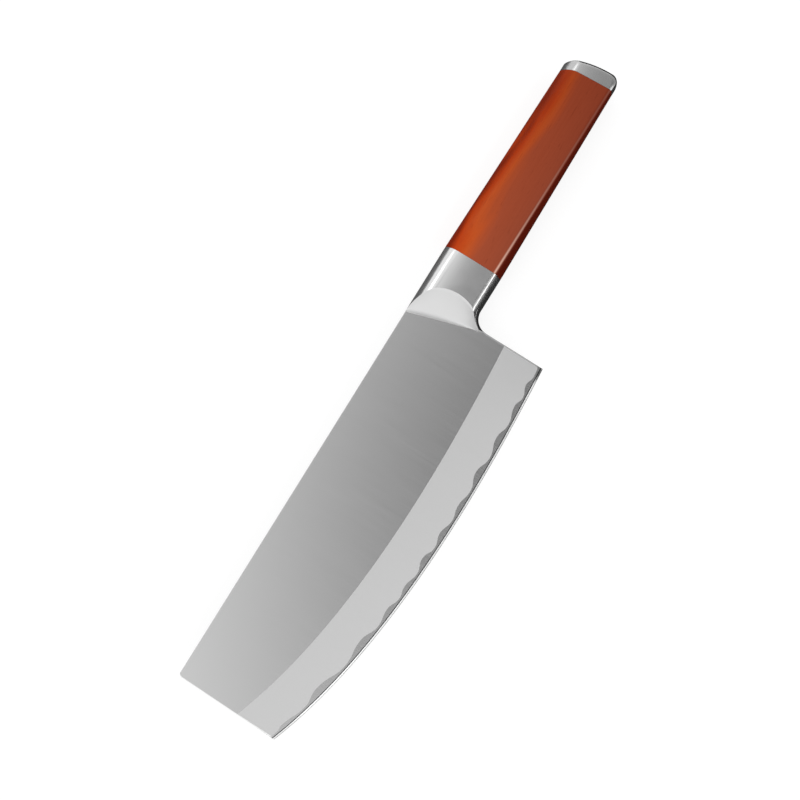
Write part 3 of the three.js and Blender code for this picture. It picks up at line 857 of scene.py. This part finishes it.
def underside_at(turn, crown):
    """The bolster's underside: the heel's fillet for the first quarter turn, then straight."""
    radius = HEEL_FILLET + crown
    centre_y = -FRONT["height"] - HEEL_FILLET
    if turn < math.pi / 2:
        return HEEL_FILLET - radius * math.cos(turn), centre_y + radius * math.sin(turn)
    return HEEL_FILLET * (1 + turn - math.pi / 2), centre_y + radius


def bolster_ring(depth):
    """One level of the bolster: rear face, top, scoop and underside."""
    across = scoop_across(depth)
    draw_in = RIM_ROUND * round_in(FRONT, across)
    crown = crown_at(FRONT, across)
    top = top_at(FRONT, across)
    rear_turn = math.pi / 2 + BOLSTER_LENGTH / HEEL_FILLET - 1
    low, high = 0, rear_turn
    for _ in range(HALVINGS):
        middle = (low + high) / 2
        x, y = underside_at(middle, crown)
        if x > scoop_at(y, depth) + draw_in:
            high = middle
        else:
            low = middle
    foot_y = underside_at(low, crown)[1]
    scoop = np.linspace(top, foot_y, SCOOP_POINTS + 1)[:-1]
    outline = [(BOLSTER_LENGTH, top - JOINT_EASE), (BOLSTER_LENGTH - JOINT_EASE, top)]
    outline += [(scoop_at(y, depth) + draw_in, y) for y in scoop]
    outline += [underside_at(turn, crown) for turn in np.linspace(low, rear_turn, UNDERSIDE_POINTS)]
    joint = np.linspace(outline[-1][1], top - JOINT_EASE, JOINT_POINTS)[1:-1]
    outline += [(BOLSTER_LENGTH, y) for y in joint]
    return [
        (x, y, BLADE_HALF if depth == 0 else across * half_at(FRONT, y))
        for x, y in outline
    ]


def make_bolster():
    """The bolster, level by level out from the blade on both sides, with its satin scoops."""
    scooped = [bolster_ring(depth) for depth in quarter_turn(BOLSTER_RINGS)]
    upper = scooped + filled_side(scooped[-1], FRONT)
    rings = mirrored(upper) + upper
    mesh = lofted_mesh("bolster_steel", rings, CAST_STEEL)
    mesh.materials.append(SCOOP_STEEL)
    count = len(rings[0])
    scoop_rings = range(FILL_RINGS, len(rings) - FILL_RINGS - 1)
    scoop_places = range(SCOOP_FIRST, SCOOP_FIRST + SCOOP_POINTS)
    for ring in scoop_rings:
        for place in scoop_places:
            mesh.polygons[ring * count + place].material_index = 1
    add_piece("bolster", mesh, HANDLE_CREASE)


# End cap

def arc(centre, radius, start, end, steps):
    """Points of an arc, without its last one."""
    return [
        (centre[0] + radius * math.cos(a), centre[1] + radius * math.sin(a))
        for a in np.linspace(start, end, steps, endpoint=False)
    ]


def cap_ring(across):
    """One level of the cap: top corner, butt arc, bottom corner. Its rim falls back at the flat sides."""
    fall_back = CAP_RIM_ROUND * (1 - (1 - across ** CAP_RIM_POWER) ** (1 / CAP_RIM_POWER))
    centre = (CAP_START + CAP_LENGTH - BUTT_RADIUS - fall_back, -BUTT_APEX_DROP)
    top = top_at(REAR, across)
    bottom = REAR["top"] - REAR["height"] + crown_at(REAR, across)
    corner_heights = (
        (CAP_TOP_CORNER, top - CAP_TOP_CORNER),
        (CAP_BOTTOM_CORNER, bottom + CAP_BOTTOM_CORNER),
    )
    corners = []
    for radius, y in corner_heights:
        x = centre[0] + math.sqrt((BUTT_RADIUS - radius) ** 2 - (y - centre[1]) ** 2)
        corners.append(((x, y), math.atan2(y - centre[1], x - centre[0])))
    (upper, upper_angle), (lower, lower_angle) = corners
    top_joint = CAP_START + cap_joint_lean(top)
    bottom_joint = CAP_START + cap_joint_lean(bottom)
    outline = [(top_joint, top - JOINT_EASE), (top_joint + JOINT_EASE, top)]
    outline += arc(upper, CAP_TOP_CORNER, math.pi / 2, upper_angle, CORNER_POINTS)
    outline += arc(centre, BUTT_RADIUS, upper_angle, lower_angle, BUTT_POINTS)
    outline += arc(lower, CAP_BOTTOM_CORNER, lower_angle, -math.pi / 2, CORNER_POINTS)
    outline += [(lower[0], bottom), (bottom_joint + JOINT_EASE, bottom)]
    outline += [(bottom_joint, bottom + JOINT_EASE)]
    joint = np.linspace(bottom + JOINT_EASE, top - JOINT_EASE, JOINT_POINTS)[1:-1]
    outline += [(CAP_START + cap_joint_lean(y), y) for y in joint]
    return [(x, y, across * half_at(REAR, y)) for x, y in reversed(outline)]


def make_end_cap():
    """The cap, level by level from its middle plane to both sides."""
    upper = [cap_ring(across) for across in quarter_turn(CAP_RINGS)]
    upper += filled_side(upper[-1], REAR)
    mesh = lofted_mesh("end_cap_steel", mirrored(upper[1:]) + upper, CAP_STEEL)
    add_piece("end_cap", mesh, HANDLE_CREASE)


make_blade_layer("blade_core", is_core=True)
make_blade_layer("upper_cladding", side=1)
make_blade_layer("lower_cladding", side=-1)
make_bolster()
make_grip()
make_end_cap()

# The pieces inside the grip keep their CAD shape
INNER_FINISHES = {
    "tang": TURNED_STEEL,
    "tang_washer": TURNED_STEEL,
    "tang_nut": TURNED_STEEL,
    "tang_bedding": RESIN,
}
for node, finish in INNER_FINISHES.items():
    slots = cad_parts[node].data.materials
    slots.clear()
    slots.append(finish)

# Stage: camera straight above, pale floor, a light tent with a darker ceiling, dark cards and two lamps

SPINE_ANGLE = math.radians(58.08)
CAMERA_AIM = Vector((-41.9 * MM, -17.5 * MM, 0))
CAMERA_HEIGHT = 412 * MM
LENS = 45
SENSOR = 36

DARKEST = Vector((0.11, -0.28, 0))  # the darkest spot of the ceiling, as seen from the knife
DARK_NARROWING = 1.35  # how much narrower the dark spot is across the blade than along it
DARK_REACH = 0.7075
CEILING_LIGHT = 0.04
WALL_LIGHT = 1.0
FLOOR_GLOW = 0.82  # the rest of its white is light that falls on it, less in the shadow
FLOOR_REACH = 3.0

CARD_LIFT = 0.1 * MM  # above the floor
CARD_REACH = 0.45  # to each side of the frame's origin
GREY_CARD_BEHIND = 60 * MM  # the spine, along the blade
GREY_CARD_AT_CAP = 6 * MM  # and past the cap
BLACK_CARD_BEFORE = 38 * MM  # the bolster's underside
BUTT_FLAG_AWAY = 60 * MM  # from the butt
BUTT_FLAG_NEAR = -90 * MM  # its ends, from the spine
BUTT_FLAG_FAR = 60 * MM
BUTT_FLAG_HEIGHT = 70 * MM
BLACK_FLAG_AWAY = 85 * MM  # from the spine
BLACK_FLAG_LENGTH = 230 * MM
BLACK_FLAG_HEIGHT = 50 * MM

# Lamps: what they face, in millimetres from the datum, and how they stand and shine
SPINE_SOFTBOX = {
    "aim": (60, -5, 0),
    "direction": (0, 0.9, 0.42),
    "distance": 0.6,
    "size": (0.5, 0.2),
    "watts": 0.3,
}
EDGE_SOFTBOX = {
    "aim": (-90, -50, 0),
    "direction": (0, -0.515, 0.857),
    "distance": 0.8,
    "size": (0.95, 0.16),
    "watts": 0.95,
}


def make_camera():
    """The camera looks straight down, turned so that the knife stands as in the photograph."""
    data = bpy.data.cameras.new("camera")
    data.sensor_width = SENSOR
    data.lens = LENS
    camera = bpy.data.objects.new("camera", data)
    camera.location = DATUM + CAMERA_AIM + Vector((0, 0, CAMERA_HEIGHT))
    camera.rotation_euler = (0, 0, -SPINE_ANGLE)
    bpy.context.scene.collection.objects.link(camera)
    bpy.context.scene.camera = camera


def stage_sheet(name, corners, material):
    """A flat sheet that belongs to the stage."""
    mesh = bpy.data.meshes.new(name)
    mesh.from_pydata(corners, [], [tuple(range(len(corners)))])
    mesh.materials.append(material)
    sheet = bpy.data.objects.new(name, mesh)
    bpy.context.scene.collection.objects.link(sheet)
    return sheet


def make_floor():
    """White to the eye and in reflections, with the knife's shadow, but it throws little light back up."""
    material, tree, shader = new_material("pale_floor")
    rays = add_node(tree, "ShaderNodeLightPath").outputs
    seen = add_node(tree, MATH, {0: rays["Is Camera Ray"], 1: rays["Is Glossy Ray"]}, operation="MAXIMUM")
    seen = add_node(tree, MATH, {0: seen, 1: rays["Is Transmission Ray"]}, operation="MAXIMUM")
    glow = add_node(tree, MATH, {0: seen, 1: FLOOR_GLOW}, operation="MULTIPLY")
    connect(
        tree, shader,
        {
            "Base Color": colour("#8A8A8A"),
            "Roughness": 0.9,
            "Specular IOR Level": 0.0,
            "Emission Color": colour("#FFFFFF"),
            "Emission Strength": glow,
        },
    )
    signs = ((-1, -1), (1, -1), (1, 1), (-1, 1))
    stage_sheet("floor", [(x * FLOOR_REACH, y * FLOOR_REACH, 0) for x, y in signs], material)


def make_card(name, corners, shade):
    """A studio card beside the knife: it darkens what the sides mirror, and isn't seen itself."""
    material, tree, shader = new_material(name)
    connect(tree, shader, {"Base Color": colour(shade), "Roughness": 1.0, "Specular IOR Level": 0.0})
    card = stage_sheet(name, corners, material)
    card.visible_camera = False
    card.visible_shadow = False
    card.visible_transmission = False
    card.visible_diffuse = False


def make_cards():
    """Two cards that lie beside the handle and the spine, and two flags that stand further off."""
    middle = DATUM.y - FRONT["height"] / 2
    heel = DATUM.x
    past_butt = DATUM.x + CAP_START + CAP_LENGTH + BUTT_FLAG_AWAY
    behind = DATUM.y + GREY_CARD_BEHIND
    grey = (
        (-CARD_REACH, middle),
        (past_butt, middle),
        (past_butt, DATUM.y + GREY_CARD_AT_CAP),
        (heel, behind),
        (-CARD_REACH, behind),
    )
    make_card("grey_card", [(x, y, CARD_LIFT) for x, y in grey], "#707070")
    before = DATUM.y - FRONT["height"] - BLACK_CARD_BEFORE
    black = ((heel, before), (CARD_REACH, before), (CARD_REACH, middle), (heel, middle))
    make_card("black_card", [(x, y, CARD_LIFT) for x, y in black], "#383838")
    near, far = DATUM.y + BUTT_FLAG_NEAR, DATUM.y + BUTT_FLAG_FAR
    upright = ((near, 0), (far, 0), (far, BUTT_FLAG_HEIGHT), (near, BUTT_FLAG_HEIGHT))
    make_card("butt_flag", [(past_butt, y, z) for y, z in upright], "#101010")
    flag_y = DATUM.y - BLACK_FLAG_AWAY
    flag_end = heel + BLACK_FLAG_LENGTH
    upright = ((heel, 0), (flag_end, 0), (flag_end, BLACK_FLAG_HEIGHT), (heel, BLACK_FLAG_HEIGHT))
    make_card("black_flag", [(x, flag_y, z) for x, z in upright], "#101010")


def make_world():
    """A light tent: bright all round, darker in the part of the ceiling that the blade mirrors."""
    world = bpy.data.worlds.new("studio")
    bpy.context.scene.world = world
    world.use_nodes = True
    tree = world.node_tree
    tree.nodes.clear()
    place = add_node(tree, "ShaderNodeTexCoord").outputs["Generated"]
    away = add_node(tree, VECTOR_MATH, {0: place, 1: DARKEST}, operation="SUBTRACT")
    away = add_node(tree, VECTOR_MATH, {0: away, 1: (1, DARK_NARROWING, 0)}, operation="MULTIPLY")
    distance_squared = add_node(tree, VECTOR_MATH, {0: away, 1: away}, operation="DOT_PRODUCT")
    level = add_node(
        tree, MAP_RANGE,
        {
            "Value": distance_squared.outputs["Value"],
            "From Max": DARK_REACH ** 2,
            "To Min": CEILING_LIGHT,
            "To Max": WALL_LIGHT,
        },
    )
    rays = add_node(tree, "ShaderNodeLightPath").outputs
    shown = add_node(tree, MATH, {0: level, 1: rays["Is Camera Ray"]}, operation="MAXIMUM")
    background = add_node(tree, "ShaderNodeBackground", {"Color": colour("#FFFFFF"), "Strength": shown})
    add_node(tree, "ShaderNodeOutputWorld", {"Surface": background})


def make_softbox(name, aim, direction, distance, size, watts):
    """A soft lamp that faces a point of the knife, given from the datum in millimetres."""
    data = bpy.data.lights.new(name, "AREA")
    data.shape = "RECTANGLE"
    data.size, data.size_y = size
    data.energy = watts
    light = bpy.data.objects.new(name, data)
    target = DATUM + Vector(aim) * MM
    light.location = target + Vector(direction).normalized() * distance
    light.rotation_euler = (target - light.location).to_track_quat("-Z", "Y").to_euler()
    light.visible_camera = False
    bpy.context.scene.collection.objects.link(light)
    return light


def keep_off_blade(light):
    """Keeps a handle lamp off the blade, whose flats would mirror it as a bare white patch."""
    layers = bpy.data.collections.new("blade_layers")
    for name in ("blade_core", "upper_cladding", "lower_cladding"):
        layers.objects.link(bpy.data.objects[name + "_look"])
    for layer in layers.collection_objects:
        layer.light_linking.link_state = "EXCLUDE"
    light.light_linking.receiver_collection = layers


make_camera()
make_floor()
make_cards()
make_world()
keep_off_blade(make_softbox("spine_softbox", **SPINE_SOFTBOX))
make_softbox("edge_softbox", **EDGE_SOFTBOX)

bpy.context.scene.view_settings.view_transform = "Standard"
